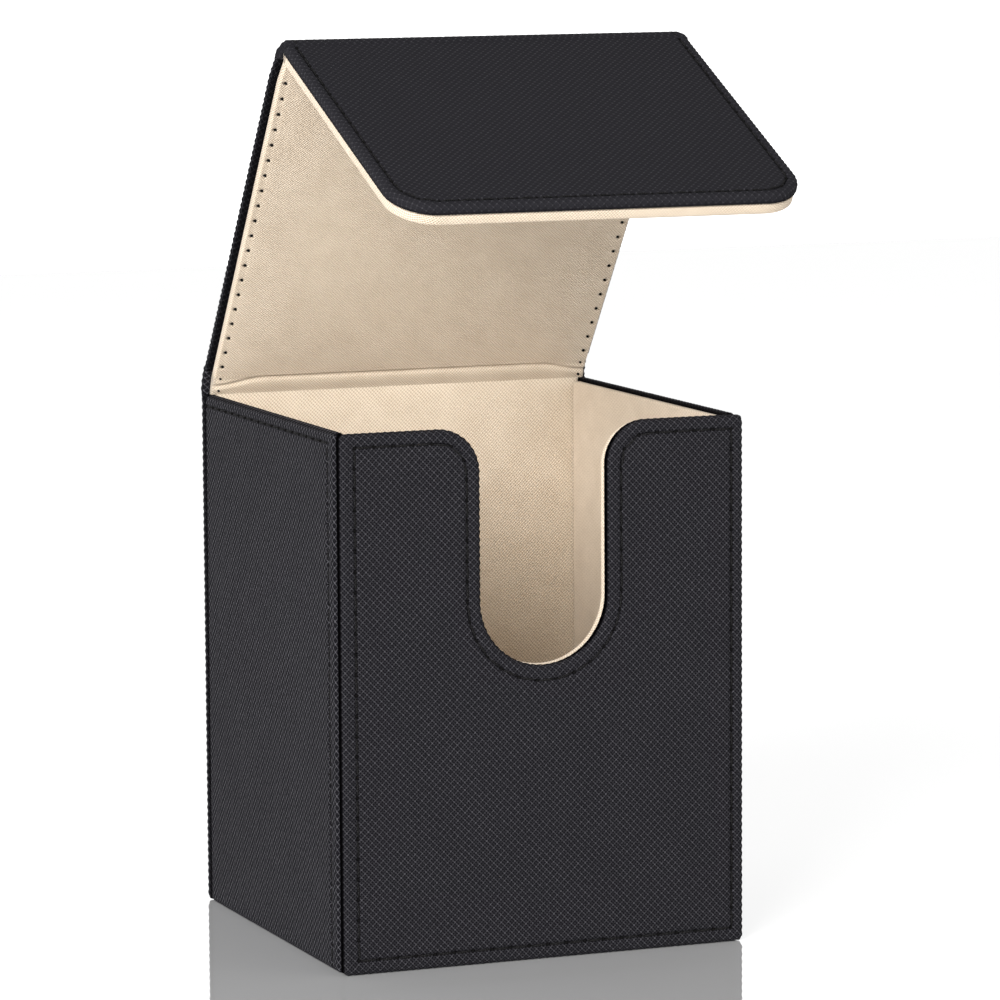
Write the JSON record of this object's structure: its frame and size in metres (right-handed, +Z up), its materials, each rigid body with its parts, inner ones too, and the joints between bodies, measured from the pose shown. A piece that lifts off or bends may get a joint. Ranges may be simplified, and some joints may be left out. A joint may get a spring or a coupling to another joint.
{
  "type": "card deck box",
  "caption": "Upright leatherette box for a deck of collectable cards, with a thumb notch in the front and a soft-hinged lid whose magnetic flap folds down over the notch.",
  "frame": {"origin": "middle of the underside, on the surface that the box stands on", "axes": "+Z up, -Y out of the front with the thumb notch, +X to the right of someone facing the front; lid part open and flap folded forward at rest"},
  "size_m": [0.0836, 0.1114, 0.1738],
  "materials": {
    "leatherette": "cross-hatch embossed, semi-matt",
    "lining": "cream suede twill",
    "board": "bare grey board",
    "thread": "twisted black thread",
    "magnet": "nickel plated"
  },
  "bodies": {
    "box": {"front_cover": "leatherette", "front_board": "board", "front_lining": "lining", "front_stitching": "thread", "front_magnet_left": "magnet", "front_magnet_right": "magnet", "back_cover": "leatherette", "back_board": "board", "back_lining": "lining", "back_stitching": "thread", "left_cover": "leatherette", "left_board": "board", "left_lining": "lining", "left_stitching": "thread", "right_cover": "leatherette", "right_board": "board", "right_lining": "lining", "right_stitching": "thread", "base_cover": "leatherette", "base_board": "board", "base_lining": "lining", "lid_hinge_strip": "leatherette"},
    "lid": {"lid_cover": "leatherette", "lid_board": "board", "lid_lining": "lining", "lid_stitching_left": "thread", "lid_stitching_right": "thread", "flap_hinge_strip": "leatherette"},
    "flap": {"flap_cover": "leatherette", "flap_board": "board", "flap_lining": "lining", "flap_stitching": "thread", "flap_magnet_left": "magnet", "flap_magnet_right": "magnet"}
  },
  "joints": [
    {"name": "lid_hinge", "type": "hinge", "parent": "box", "child": "lid", "pos_m": [0, 0.038, 0.105], "axis": [-1, 0, 0], "range_deg": [-54.5, 150]},
    {"name": "flap_hinge", "type": "hinge", "parent": "lid", "child": "flap", "pos_m": [0, -0.0102, 0.17257], "axis": [-1, 0, 0], "range_deg": [-12.3, 79.3]}
  ]
}
